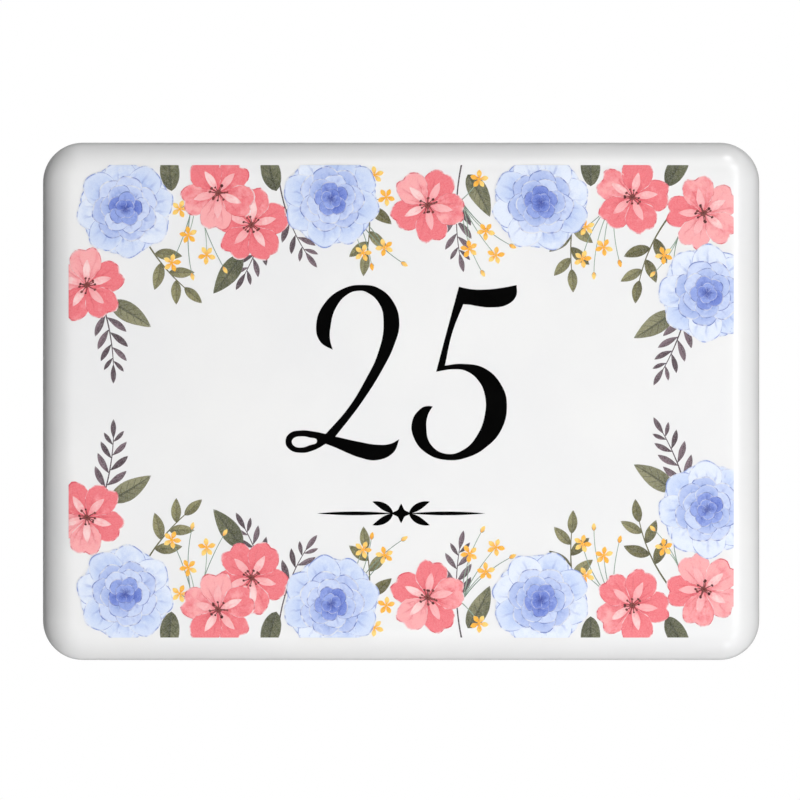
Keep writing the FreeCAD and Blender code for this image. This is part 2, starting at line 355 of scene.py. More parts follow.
def glazePaint():
    paint = newPaint("whiteGlaze")
    place = paint.millimetres()
    bare = paint.layer("coat")[0]
    edgeNoise = paint.noise(place, glaze["edgeSize"], 3.0)
    bisque = paint.step(bare + (edgeNoise - 0.5) * 0.9, 0.42, 0.58)
    # glaze: neutral white, a breath greyer and warmer where it pools or thins
    pool = paint.noise(place, glaze["poolSize"])
    white = paint.mix(paint.step(pool, 0.3, 0.75), glaze["pooled"], glaze["thin"])
    speck = paint.step(paint.noise(place, glaze["speckSize"], 1.0, 3.0), 0.80, 0.84)
    white = paint.mix(speck * glaze["speckWeight"], white, glaze["speck"])
    # bisque: warm white clay with grog, rubbed grey where it was ground
    grog = paint.noise(place, glaze["grogSize"], 4.0, 7.0, 0.65)
    clay = paint.mix(paint.step(grog, 0.35, 0.7), glaze["clayDark"], glaze["clayLight"])
    stain = paint.step(paint.noise(place, glaze["stainSize"], 3.0, 11.0), 0.5, 0.75)
    clay = paint.mix(stain * glaze["stainWeight"], clay, glaze["stain"])
    depth = paint.parts(place)[1] * -1.0
    ground = 1.0 - paint.step(depth, 0.02, 0.3)
    rub = paint.noise(place, glaze["rubSize"], 3.0, 2.0, 0.6, glaze["rubStretch"])
    clay = paint.mix(ground * paint.step(rub, 0.4, 0.65) * glaze["rubWeight"], clay, glaze["rubbed"])
    ripple = (paint.noise(place, glaze["rippleSize"], shift=5.0) * 0.8
              + paint.noise(place, glaze["fineSize"], shift=6.0) * 0.12)
    relief = ripple * (1.0 - bisque) * 0.5 + (grog + rub * ground) * bisque
    cloud = paint.noise(place, glaze["roughSize"], shift=8.0)
    rough = glaze["rough"] + cloud * glaze["roughSwing"] + bisque * glaze["clayRough"]
    return paint.finish({"Base Color": paint.mix(bisque, white, clay), "Roughness": rough,
                         "Normal": paint.bump(relief, 0.25, glaze["relief"]),
                         "Specular IOR Level": glaze["shine"]})


def makeBody():
    rows = bodyProfile()
    steps = body["cornerSteps"]
    count = 4 * (steps + 1)                   # points in a ring
    points, faces, bare = [], [], []
    for inset, depth, corner, bareness in rows:
        for x, z in ring(inset, corner, steps):
            points.append((x * mm, -depth * mm, z * mm))
            bare.append(bareness)
    faces.append(tuple(range(count)))
    for row in range(len(rows) - 1):
        here, below = row * count, (row + 1) * count
        for number in range(count):
            after = (number + 1) % count
            faces.append((here + number, below + number, below + after, here + after))
    faces.append(tuple(reversed(range((len(rows) - 1) * count, len(rows) * count))))
    data = bpy.data.meshes.new("plaqueBody")
    data.from_pydata(points, [], faces)
    coat = data.uv_layers.new(name="coat")
    for loop in data.loops:
        coat.data[loop.index].uv = (bare[loop.vertex_index], 0)
    data.polygons.foreach_set("use_smooth", [True] * len(data.polygons))
    data.update()
    addPiece("plaqueBody", data, glazePaint(), "plaque_body")


makeBody()
print("body made")


# The print: thin patches of colour that follow the glaze

window = {"width": 166.2, "height": 118.1, "corner": 3.0, "cornerSteps": 8}


def windowSides():                            # half planes whose overlap is the printed field
    right, top, corner = window["width"] / 2, window["height"] / 2, window["corner"]
    sides = []
    for quarter, (sideX, sideZ) in enumerate(quarters):
        for step in range(window["cornerSteps"]):
            angle = math.radians(90 * (quarter + step / window["cornerSteps"]))
            normal = (math.cos(angle), math.sin(angle))
            middle = (sideX * (right - corner), sideZ * (top - corner))
            sides.append((normal, normal[0] * middle[0] + normal[1] * middle[1] + corner))
    return sides


cutSides = windowSides()


def trimmed(corners):                         # corners are (x, z, u, v); keeps what is in the window
    for (normalX, normalZ), limit in cutSides:
        past = [x * normalX + z * normalZ - limit for x, z, u, v in corners]
        if max(past) <= 0:
            continue
        kept = []
        for number, corner in enumerate(corners):
            after = (number + 1) % len(corners)
            if past[number] <= 0:
                kept.append(corner)
            if (past[number] <= 0) != (past[after] <= 0):
                share = past[number] / (past[number] - past[after])
                kept.append(tuple(here + (there - here) * share
                                  for here, there in zip(corner, corners[after])))
        corners = kept
        if len(corners) < 3:
            return []
    return corners


film = {
    "foot": 0.02,             # the edge of a patch runs this far down into the glaze
    "digits": 4,              # corners that agree to this many decimals are one
    "smallest": 1e-4,         # twice the area of the smallest face that is kept
}


class Sheet:                                  # all the patches of one colour
    def __init__(self, mirrored=True):
        self.points, self.faces, self.uvs, self.tones = [], [], [], []
        self.flips = (1, -1) if mirrored else (1,)

    def patch(self, grid, level, tone):       # grid: rows of (x, z); level: height over the glaze
        rows, columns = len(grid) - 1, len(grid[0]) - 1
        places, faces, uses = {}, [], {}
        for row in range(rows):
            for column in range(columns):
                square = [(*grid[row + down][column + along], (column + along) / columns,
                           (row + down) / rows)
                          for down, along in ((0, 0), (0, 1), (1, 1), (1, 0))]
                face, marks = [], []
                for corner in trimmed(square):
                    spot = (round(corner[0], film["digits"]), round(corner[1], film["digits"]))
                    number = places.setdefault(spot, len(places))
                    if number not in face:
                        face.append(number)
                        marks.append(corner)
                area = sum(before[0] * mark[1] - mark[0] * before[1]
                           for before, mark in zip(marks[-1:] + marks, marks))
                if len(face) < 3 or abs(area) < film["smallest"]:
                    continue
                if area < 0:
                    face.reverse()
                    marks.reverse()
                faces.append((face, marks))
                for number in range(len(face)):
                    edge = frozenset((face[number - 1], face[number]))
                    uses.setdefault(edge, []).append((marks[number - 1], marks[number]))
        rims = [same[0] for same in uses.values() if len(same) == 1]
        for flip in self.flips:
            self.lay(places, faces, rims, level, tone, flip)

    def lay(self, places, faces, rims, level, tone, flip):
        start = len(self.points)
        for x, z in places:
            self.addPoint(x, z, level, flip)
        for face, marks in faces:
            self.addFace([start + number for number in face], [mark[2:] for mark in marks], tone, flip)
        for first, second in rims:            # the edge of the patch runs down into the glaze
            foot = len(self.points)
            for x, z in (first[:2], second[:2]):
                self.addPoint(x, z, level, flip)
                self.addPoint(x, z, -film["foot"], flip)
            self.addFace([foot, foot + 1, foot + 3, foot + 2],
                         [first[2:], first[2:], second[2:], second[2:]], tone, flip)

    def addPoint(self, x, z, height, flip):
        self.points.append((x * mm, -(glazeDepth(x, z) + height) * mm, z * flip * mm))

    def addFace(self, face, marks, tone, flip):
        if flip < 0:
            face, marks = face[::-1], marks[::-1]
        self.faces.append(face)
        self.uvs += marks
        self.tones += [tone] * len(face)

    def make(self, name, material, node):
        data = bpy.data.meshes.new(name)
        data.from_pydata(self.points, [], self.faces)
        for layer in ("petal", "tone"):
            data.uv_layers.new(name=layer)
        for layer, pairs in (("petal", self.uvs), ("tone", self.tones)):
            data.uv_layers[layer].data.foreach_set("uv", [value for pair in pairs for value in pair])
        data.polygons.foreach_set("use_smooth", [True] * len(data.polygons))
        data.update()
        addPiece(name, data, material, node)
        print(name, len(data.polygons), "faces")


petal = {
    "rows": 9,
    "roundness": 2.4,         # higher makes the rim squarer
    "notchWidth": 0.2, "waves": 5.2, "lean": 0.06,
    "flare": 1.5, "flarePower": 0.8,             # how soon the neck opens to the full width
}


def petalGrid(x, z, turn, sector, root, tip, waist, chance, spread, neck, wave, notch=0.0, columns=16):
    # A petal fans out from the flower's middle; neighbours overlap where spread is over 1.
    phase = chance.uniform(0, 6.28)
    lean = chance.uniform(-petal["lean"], petal["lean"])
    grid = []
    for row in range(petal["rows"] + 1):
        share = row / petal["rows"]
        width = neck + (1 - neck) * min(1, share * petal["flare"]) ** petal["flarePower"]
        line = []
        for column in range(columns + 1):
            across = (column / columns * 2 - 1) * spread
            rim = waist + (tip - waist) * (1 - abs(across) ** petal["roundness"])
            rim -= notch * math.exp(-(across / petal["notchWidth"]) ** 2)
            rim += tip * wave * math.sin(across * petal["waves"] + phase) * share
            rim *= 1 + lean * across
            radius = root + (rim - root) * share
            angle = math.radians(turn + across * sector * width)
            line.append((x + radius * math.cos(angle), z + radius * math.sin(angle)))
        grid.append(line)
    return grid


def leafGrid(x, z, heading, length, width, bend, fullest, rows=12, columns=4):
    # A leaf from its root to its point, curving evenly by bend degrees; it is broadest at fullest.
    power = math.log(0.5) / math.log(fullest)
    grid = []
    for row in range(rows + 1):
        share = row / rows
        angle = math.radians(heading + bend * (share - 0.3))
        half = width / 2 * math.sin(math.pi * share ** power) ** 0.85 if 0 < row < rows else 0
        sides = [(column / columns * 2 - 1) * half for column in range(columns + 1)]
        grid.append([(x - side * math.sin(angle), z + side * math.cos(angle)) for side in sides])
        x += length / rows * math.cos(angle)
        z += length / rows * math.sin(angle)
    return grid


def bentPath(x, z, heading, bend, length, share):
    # The place at this share of an even curve that starts out at heading and turns by bend.
    start = math.radians(heading)
    now = math.radians(heading + bend * share)
    reach = length / math.radians(bend)
    return (x + reach * (math.sin(now) - math.sin(start)),
            z + reach * (math.cos(start) - math.cos(now)))


def stalkGrid(x, z, heading, bend, length, width, taper=0.6, rows=14):
    grid = []
    for row in range(rows + 1):
        share = row / rows
        nowX, nowZ = bentPath(x, z, heading, bend, length, share)
        angle = math.radians(heading + bend * share)
        half = width / 2 * (1 - share * taper)
        grid.append([(nowX + half * math.sin(angle) * side, nowZ - half * math.cos(angle) * side)
                     for side in (1, 0, -1)])
    return grid


def dotGrid(x, z, radius, chance):
    sides = 12
    rim = []
    for number in range(sides + 1):
        angle = 2 * math.pi * (number % sides) / sides
        wobble = radius * (1 + 0.12 * math.sin(angle * 2 + chance.random() * 0.4))
        rim.append((x + wobble * math.cos(angle), z + wobble * math.sin(angle)))
    return [[(x, z)] * (sides + 1), rim]


def anyTone(chance):                          # how full a patch's colour is, and a seed for its blots
    return (chance.random(), chance.random())


# Watercolour

watercolour = {
    "paper": grey(0.88),      # what shows where the colour leaves the white bare
    "bleed": 0.35,            # size of the finer blots against the broad ones
    "breaks": 1.6,            # size of the gaps in the darker edge
    "grain": 0.22,
    "wave": 6.283,            # radians from one vein to the next
    "line": (0.955, 0.985),   # where the fine line along the edge starts, and is full
    "rough": 0.24, "roughSwing": 0.08, "relief": 0.01, "shine": 0.4,
}


def washPaint(name, wash):
    # Thin colour on white: paler or fuller from petal to petal, pooled along its edge, drawn out
    # in veins from the root, and grained by the paper.
    paint = newPaint(name)
    place = paint.millimetres()
    u, v, _ = paint.layer("petal")
    tone, seed, _ = paint.layer("tone")
    shift = seed * 40.0
    across = abs(u * 2.0 - 1.0)
    deep, paper, wave = wash["deep"], watercolour["paper"], watercolour["wave"]
    blot = paint.noise(place, wash["blot"], shift=shift)
    bleed = paint.noise(place, wash["blot"] * watercolour["bleed"], 3.0, shift + 5.0)
    grain = paint.noise(place, watercolour["grain"], shift=1.0, rough=0.6)
    full = paint.step(blot * 0.65 + bleed * 0.35 + (tone - 0.5) * wash["toneSwing"], 0.32, 0.68)
    colour = paint.mix(full, wash["pale"], wash["wash"])
    root = paint.step(1.0 - v + (bleed - 0.5) * 0.5, wash["rootEnds"], 1.05)
    colour = paint.mix(root * wash["rootWeight"], colour, deep)
    if "tipWeight" in wash:
        tip = paint.step(v + (blot - 0.5) * 0.7, 0.5, 1.0)
        colour = paint.mix(tip * wash["tipWeight"], colour, wash["pale"])
    if "veins" in wash:                       # fine lines fanning out from the root
        stripes = ((u + (bleed - 0.5) * 0.10) * (wave * wash["veins"])).sine()
        vein = paint.step(stripes * 0.5 + 0.5, 0.80, 1.0) * paint.step(1.0 - v, 0.06, 0.5)
        vein = vein * paint.step(blot, 0.38, 0.6)
        colour = paint.mix(vein * wash["veinWeight"], colour, deep)
    if "ribs" in wash:                        # a midrib, and ribs slanting from it to the edge
        half = paint.step(u + (bleed - 0.5) * 0.2, 0.44, 0.56)
        colour = paint.mix(half * 0.3, colour, deep)
        slant = v - across * wash["slant"] + (bleed - 0.5) * 0.03
        rib = (paint.step((slant * (wave * wash["ribs"])).sine(), 0.78, 1.0)
               * (1.0 - paint.step(across, 0.6, 0.95)))
        rib = (rib * 0.8).orMore(1.0 - paint.step(across, 0.05, 0.16))
        colour = paint.mix(rib * wash["ribWeight"], colour, deep)
    starts = 1.0 - wash["edge"]
    edge = paint.step(v, starts, 1.0).orMore(paint.step(across, starts, 1.0))
    broken = paint.step(paint.noise(place, watercolour["breaks"], shift=shift + 9.0), 0.36, 0.62)
    colour = paint.mix(edge * broken * wash["edgeWeight"], colour, deep)
    if "line" in wash:
        line = paint.step(v, *watercolour["line"]).orMore(paint.step(across, *watercolour["line"]))
        colour = paint.mix(line * (0.4 + broken * 0.6) * wash["line"], colour, deep)
    if "lightEdge" in wash:
        colour = paint.mix(edge * (1.0 - broken) * wash["lightEdge"], colour, paper)
    colour = paint.mix(paint.step(grain, 0.45, 0.75) * wash["grain"], colour, paper)
    return paint.finish({"Base Color": colour,
                         "Roughness": watercolour["rough"] + grain * watercolour["roughSwing"],
                         "Normal": paint.bump(grain, 0.12, watercolour["relief"]),
                         "Specular IOR Level": wash.get("shine", watercolour["shine"])})


# Places of the flowers and sprays: share of the half width of the print from its middle, share of
# the print's height below its top edge, then turns in degrees, as in the solids.
garland = {
    "doubles": [(-0.83, 0.093, 8), (-0.21, 0.072, 30), (0.42, 0.080, 17), (0.92, 0.271, 40)],
    "singles": [(-0.945, 0.254, 20), (-0.55, 0.059, 50), (-0.45, 0.127, 15),
                (0.08, 0.085, 62), (0.695, 0.068, 5), (0.91, 0.102, 33)],
    "florets": [(-0.665, 0.093, 0), (-0.64, 0.148, 30), (-0.585, 0.191, 50), (-0.69, 0.207, 10),
                (-0.08, 0.021, 20), (-0.045, 0.068, 60), (-0.05, 0.174, 40), (-0.115, 0.186, 0),
                (0.235, 0.030, 15), (0.255, 0.140, 50), (0.205, 0.178, 30), (0.285, 0.191, 5),
                (0.555, 0.131, 25), (0.61, 0.174, 60), (0.545, 0.199, 0), (0.79, 0.191, 45)],
    "leaves": [(-0.69, 0.055, 95), (-0.375, 0.055, 105), (0.20, 0.02, -60), (0.57, 0.045, 92),
               (0.80, 0.045, 60), (-0.875, 0.29, -30), (-0.48, 0.19, -125), (0.82, 0.31, 215)],
    "fronds": [(-0.90, 0.288, -72, -18), (-0.36, 0.059, -78, 24), (-0.40, 0.102, -104, -16),
               (0.17, 0.051, -96, 18), (0.86, 0.305, -104, -18)],
    "sprigs": [(-0.76, 0.169, -58, 20), (-0.10, 0.068, -82, -22), (0.52, 0.102, -100, 18),
               (0.78, 0.135, -122, 24)],
}
# Where the stalks of a cluster of florets start, then the florets and the buds that they lead to.
clusters = [
    ((-0.62, 0.06), (0, 1, 2, 3), [(-0.535, 0.215), (-0.63, 0.228)]),
    ((-0.14, 0.10), (4, 5, 6, 7), [(0.0, 0.205), (-0.09, 0.207)]),
    ((0.18, 0.075), (8, 9, 10, 11), [(0.325, 0.168), (0.24, 0.222)]),
    ((0.64, 0.075), (12, 13, 14), [(0.58, 0.226), (0.655, 0.2)]),
    ((0.84, 0.14), (15,), [(0.765, 0.225), (0.82, 0.217)]),
]
# Heights over the glaze. Where two patches cross, each has a level of its own.
levels = {"fronds": 0.012, "leaves": 0.026, "sprigs": 0.034, "stalks": 0.05, "florets": 0.062,
          "singles": 0.085, "doubles": 0.175,
          "step": 0.009, "smallStep": 0.004, "overStem": 0.005}


def onPrint(share, drop, *rest):
    return (share * window["width"] / 2, window["height"] * (0.5 - drop), *rest)


def placed(kind):
    return [onPrint(*place) for place in garland[kind]]


def over(number, count):                      # petals lie over and under their neighbours by turns
    return 2 if count % 2 and number == count - 1 else number % 2


doubleFlower = {
    "radius": 12.2, "neck": 0.88, "wave": 0.014, "columns": 20,
    # petals in a ring, their turn, then root, tip, waist and spread as shares, and the sheet
    "rings": [(8, 22, 0.30, 0.93, 0.84, 1.50, 0), (8, 0, 0.30, 1.00, 0.84, 1.45, 0),
              (7, 20, 0.12, 0.68, 0.59, 1.45, 1), (6, 48, 0.10, 0.51, 0.44, 1.45, 1),
              (5, 0, 0.00, 0.36, 0.29, 1.40, 2), (4, 35, 0.00, 0.21, 0.17, 1.40, 2)],
}


def doubleFlowers():
    chance = random.Random(4)
    sheets = Sheet(), Sheet(), Sheet()
    radius, neck, wave = doubleFlower["radius"], doubleFlower["neck"], doubleFlower["wave"]
    for x, z, turn in placed("doubles"):
        below = 0
        for count, lead, root, tip, waist, spread, sheet in doubleFlower["rings"]:
            for number in range(count):
                level = levels["doubles"] + (below + over(number, count)) * levels["step"]
                grid = petalGrid(x, z, turn + lead + number * 360 / count, 180 / count,
                                 radius * root, radius * tip, radius * waist, chance,
                                 spread, neck, wave, columns=doubleFlower["columns"])
                sheets[sheet].patch(grid, level, anyTone(chance))
            below += 2 + count % 2
    sheets[0].make("paleBluePetals", washPaint("paleBlueWash", {
        "pale": rgb(228, 236, 251), "wash": rgb(188, 206, 243), "deep": rgb(96, 126, 204),
        "blot": 3.4, "toneSwing": 0.35, "rootEnds": 0.3, "rootWeight": 0.5, "tipWeight": 0.55,
        "veins": 4, "veinWeight": 0.4, "edge": 0.07, "edgeWeight": 0.5, "line": 0.75, "lightEdge": 0.8,
        "grain": 0.12}), "print_pale_blue")
    sheets[1].make("bluePetals", washPaint("blueWash", {
        "pale": rgb(206, 218, 247), "wash": rgb(150, 172, 228), "deep": rgb(66, 92, 182),
        "blot": 2.4, "toneSwing": 0.35, "rootEnds": 0.3, "rootWeight": 0.6, "tipWeight": 0.5,
        "veins": 3, "veinWeight": 0.4, "edge": 0.09, "edgeWeight": 0.5, "line": 0.8, "lightEdge": 0.8,
        "grain": 0.1}), "print_blue")
    sheets[2].make("deepBlueHearts", washPaint("deepBlueWash", {
        "pale": rgb(146, 166, 228), "wash": rgb(92, 116, 204), "deep": rgb(40, 56, 146),
        "blot": 1.4, "toneSwing": 0.4, "rootEnds": 0.25, "rootWeight": 0.8, "tipWeight": 0.35,
        "veins": 2, "veinWeight": 0.3, "edge": 0.1, "edgeWeight": 0.4, "line": 0.7, "lightEdge": 0.6,
        "grain": 0.08}), "print_deep_blue")


singleFlower = {
    "radius": 9.7, "petals": 5,
    "behind": (2, 5),         # these flowers lie under the one beside them
    "root": 0.02, "waist": 0.7, "notch": 0.1,    # shares of the radius
    "spread": 1.2, "neck": 0.86, "wave": 0.022,
    "light": (0.06, 0.6, 0.2),                   # pale stripe of a petal: root, length and width
    "filaments": 11, "filament": 0.30, "taper": 0.45, "reach": (0.16, 0.24),
    "tips": (0.24, 0.36), "middle": 0.75,        # radii of the dark dots
}


def singleFlowers():
    chance = random.Random(11)
    petals, lights, stamens = Sheet(), Sheet(), Sheet()
    step = levels["step"]
    radius, count = singleFlower["radius"], singleFlower["petals"]
    root, length, width = [radius * share for share in singleFlower["light"]]
    for order, (x, z, turn) in enumerate(placed("singles")):
        base = levels["singles"] + (0 if order in singleFlower["behind"] else 5 * step)
        for number in range(count):
            grid = petalGrid(x, z, turn + number * 360 / count, 180 / count,
                             radius * singleFlower["root"], radius, radius * singleFlower["waist"],
                             chance, singleFlower["spread"], singleFlower["neck"],
                             singleFlower["wave"], radius * singleFlower["notch"])
            petals.patch(grid, base + over(number, count) * step,
                         (chance.random() ** 0.7, chance.random()))
        for number in range(count):
            heading = turn + number * 360 / count + chance.uniform(-3, 3)
            start = math.radians(heading)
            lights.patch(leafGrid(x + root * math.cos(start), z + root * math.sin(start), heading,
                                  length, width, chance.uniform(-14, 14), 0.5),
                         base + 3 * step, anyTone(chance))
        for number in range(singleFlower["filaments"]):
            heading = turn + number * 360 / singleFlower["filaments"] + chance.uniform(-9, 9)
            reach = radius * chance.uniform(*singleFlower["reach"])
            bend = chance.choice((-1, 1)) * chance.uniform(12, 34)
            stamens.patch(stalkGrid(x, z, heading, bend, reach, singleFlower["filament"],
                                    singleFlower["taper"], 5), base + 4 * step, anyTone(chance))
            tipX, tipZ = bentPath(x, z, heading, bend, reach, 1)
            stamens.patch(dotGrid(tipX, tipZ, chance.uniform(*singleFlower["tips"]), chance),
                          base + 4.3 * step, anyTone(chance))
        stamens.patch(dotGrid(x, z, singleFlower["middle"], chance), base + 4.3 * step,
                      (0.3, chance.random()))
    petals.make("coralPetals", washPaint("coralWash", {
        "pale": rgb(250, 170, 172), "wash": rgb(240, 118, 126), "deep": rgb(214, 62, 80),
        "blot": 2.8, "toneSwing": 0.75, "rootEnds": 0.35, "rootWeight": 0.75, "veins": 5,
        "veinWeight": 0.4, "edge": 0.06, "edgeWeight": 0.5, "line": 0.7, "lightEdge": 0.9,
        "grain": 0.1}), "print_coral")
    lights.make("blushLights", washPaint("blushWash", {
        "pale": rgb(253, 214, 212), "wash": rgb(249, 180, 182), "deep": rgb(238, 128, 136),
        "blot": 1.6, "toneSwing": 0.5, "rootEnds": 0.4, "rootWeight": 0.8, "veins": 2,
        "veinWeight": 0.3, "edge": 0.25, "edgeWeight": 0.7, "lightEdge": 0.2,
        "grain": 0.08}), "print_blush")
    stamens.make("stamens", washPaint("stamenWash", {
        "pale": rgb(132, 60, 56), "wash": rgb(92, 36, 34), "deep": rgb(58, 20, 20),
        "blot": 0.8, "toneSwing": 0.5, "rootEnds": 0.4, "rootWeight": 0.6,
        "edge": 0.2, "edgeWeight": 0.3, "grain": 0.05, "shine": 0.3}), "print_stamens")


floret = {
    "radius": 2.4, "petals": 5, "petalWidth": 0.52, "middle": 0.42,
    "stalk": 0.26, "taper": 0.35,
    "bud": 2.0, "budWidth": 0.5,
    "sepal": 0.55, "sepalWidth": 0.2, "sepalSpread": 30,     # two green tips that hold the bud
}


def florets():
    chance = random.Random(23)
    sheet, stalks = Sheet(), Sheet()
    count, bud = floret["petals"], floret["bud"]
    low, small = levels["stalks"], levels["smallStep"]
    blooms = placed("florets")
    for x, z, turn in blooms:
        for number in range(count):
            heading = turn + number * 360 / count + chance.uniform(-7, 7)
            length = floret["radius"] * chance.uniform(0.92, 1.0)
            sheet.patch(leafGrid(x, z, heading, length, length * floret["petalWidth"],
                                 chance.uniform(-16, 16), 0.6, 8),
                        levels["florets"] + (number % 3) * small, anyTone(chance))
        sheet.patch(dotGrid(x, z, floret["middle"], chance), levels["florets"] + 4 * small,
                    (0.95, chance.random()))
    for start, numbers, buds in clusters:
        rootX, rootZ = onPrint(*start)
        ends = [blooms[number][:2] for number in numbers] + [onPrint(*place) for place in buds]
        for order, (x, z) in enumerate(ends):
            bend = chance.choice((-1, 1)) * chance.uniform(16, 34)
            chord = math.hypot(x - rootX, z - rootZ)
            heading = math.degrees(math.atan2(z - rootZ, x - rootX)) - bend / 2
            length = chord * math.radians(bend / 2) / math.sin(math.radians(bend / 2))
            stalks.patch(stalkGrid(rootX, rootZ, heading, bend, length, floret["stalk"],
                                   floret["taper"]), low + (order % 3) * small, anyTone(chance))
            if order < len(numbers):
                continue
            heading += bend
            sheet.patch(leafGrid(x, z, heading, bud, bud * floret["budWidth"], 8, 0.5, 8),
                        levels["florets"], anyTone(chance))
            for side in (-1, 1):
                stalks.patch(leafGrid(x, z, heading + side * floret["sepalSpread"],
                                      bud * floret["sepal"], bud * floret["sepalWidth"], 0.01, 0.5, 6),
                             low + (2 + side / 2) * small, anyTone(chance))
    stalks.make("floretStalks", washPaint("stalkWash", {
        "pale": rgb(150, 168, 150), "wash": rgb(112, 136, 120), "deep": rgb(74, 96, 84),
        "blot": 1.4, "toneSwing": 0.5, "rootEnds": 0.5, "rootWeight": 0.5,
        "edge": 0.2, "edgeWeight": 0.3, "grain": 0.1}), "print_olive")
    sheet.make("yellowFlorets", washPaint("yellowWash", {
        "pale": rgb(252, 214, 112), "wash": rgb(250, 184, 52), "deep": rgb(236, 132, 16),
        "blot": 1.2, "toneSwing": 0.8, "rootEnds": 0.3, "rootWeight": 0.7,
        "edge": 0.16, "edgeWeight": 0.45, "lightEdge": 0.3, "grain": 0.08}), "print_yellow")


def stemFrom(x, z, heading, bend, length, lead, width):
    # A stem that starts lead millimetres before its place, so that it comes from under a flower.
    x, z = bentPath(x, z, heading, bend, length, -lead / length)
    more = bend * lead / length
    return stalkGrid(x, z, heading - more, bend + more, length + lead, width,
                     rows=2 * round(length + lead))


sprig = {
    "length": 17.0, "lead": 7.0, "leaf": 7.0, "width": 2.9, "stem": 0.5,
    # leaves: share of the way along the stem, turn to the side, and size
    "leaves": [(0.16, 52, 1.0), (0.32, -50, 1.0), (0.50, 46, 0.92), (0.66, -46, 0.88),
               (0.82, 0, 0.85)],
}


def sprigs():
    chance = random.Random(31)
    sheet = Sheet()
    for x, z, heading, bend in placed("sprigs"):
        sheet.patch(stemFrom(x, z, heading, bend, sprig["length"], sprig["lead"], sprig["stem"]),
                    levels["sprigs"], (0.8, chance.random()))
        for share, side, size in sprig["leaves"]:
            rootX, rootZ = bentPath(x, z, heading, bend, sprig["length"], share)
            sheet.patch(leafGrid(rootX, rootZ, heading + bend * share + side, sprig["leaf"] * size,
                                 sprig["width"] * size, chance.uniform(-16, 16), 0.45),
                        levels["sprigs"] + levels["overStem"], anyTone(chance))
    sheet.make("oliveSprigs", washPaint("oliveWash", {
        "pale": rgb(142, 138, 96), "wash": rgb(106, 102, 62), "deep": rgb(60, 58, 34),
        "blot": 1.8, "toneSwing": 0.6, "rootEnds": 0.5, "rootWeight": 0.5,
        "ribs": 4, "slant": 0.16, "ribWeight": 0.5, "edge": 0.14, "edgeWeight": 0.5, "line": 0.6,
        "lightEdge": 0.3, "grain": 0.14}), "print_olive")


broadLeaf = {"length": 12.0, "width": 4.9, "rows": 18, "columns": 8}


def broadLeaves():
    chance = random.Random(59)
    sheet = Sheet()
    for x, z, heading in placed("leaves"):
        bend = chance.choice((-1, 1)) * chance.uniform(6, 14)
        sheet.patch(leafGrid(x, z, heading, broadLeaf["length"], broadLeaf["width"], bend, 0.4,
                             broadLeaf["rows"], broadLeaf["columns"]),
                    levels["leaves"], anyTone(chance))
    sheet.make("broadLeaves", washPaint("broadWash", {
        "pale": rgb(140, 138, 104), "wash": rgb(98, 100, 70), "deep": rgb(54, 56, 40),
        "blot": 2.6, "toneSwing": 0.6, "rootEnds": 0.4, "rootWeight": 0.5,
        "ribs": 6, "slant": 0.2, "ribWeight": 0.7, "edge": 0.08, "edgeWeight": 0.5, "line": 0.6,
        "lightEdge": 0.4, "grain": 0.14}), "print_olive")


frond = {
    "length": 19.0, "leaflet": 6.2, "width": 1.7, "stem": 0.42, "spread": 42,
    "leads": [0, 7, 0, 7, 0],                    # how far each stem starts back under its flower
    "pairs": [(0.2, 1.0), (0.4, 0.95), (0.6, 0.82), (0.78, 0.62)],       # place and size of a pair
    "stagger": 0.02,          # one leaflet of a pair sits this share lower than the other one
    "last": (0.84, 0.8),      # place and size of the leaflet at the end
}


def fronds():
    chance = random.Random(47)
    sheet = Sheet()
    length, leaflet, width = frond["length"], frond["leaflet"], frond["width"]
    level = levels["fronds"] + levels["overStem"]
    for lead, (x, z, heading, bend) in zip(frond["leads"], placed("fronds")):
        sheet.patch(stemFrom(x, z, heading, bend, length, lead, frond["stem"]),
                    levels["fronds"], (0.8, chance.random()))
        for share, size in frond["pairs"]:
            for side in (-1, 1):
                rootX, rootZ = bentPath(x, z, heading, bend, length, share + side * frond["stagger"])
                sheet.patch(leafGrid(rootX, rootZ, heading + bend * share + side * frond["spread"],
                                     leaflet * size, width * size, -side * chance.uniform(6, 24), 0.55),
                            level, anyTone(chance))
        share, size = frond["last"]
        rootX, rootZ = bentPath(x, z, heading, bend, length, share)
        sheet.patch(leafGrid(rootX, rootZ, heading + bend, leaflet * size, width * size,
                             chance.uniform(-10, 10), 0.55), level, anyTone(chance))
    sheet.make("plumFronds", washPaint("plumWash", {
        "pale": rgb(122, 100, 110), "wash": rgb(86, 68, 76), "deep": rgb(50, 38, 44),
        "blot": 1.4, "toneSwing": 0.7, "rootEnds": 0.5, "rootWeight": 0.5,
        "ribs": 5, "slant": 0.12, "ribWeight": 0.4, "edge": 0.16, "edgeWeight": 0.4, "line": 0.5,
        "lightEdge": 0.25, "grain": 0.18}), "print_plum")


doubleFlowers()
singleFlowers()
florets()
sprigs()
broadLeaves()
fronds()
print("garlands made")


# The number and the ornament, in fired black

figures = {"height": 43.78, "lift": 7.18, "level": 0.06, "smoothness": 10}

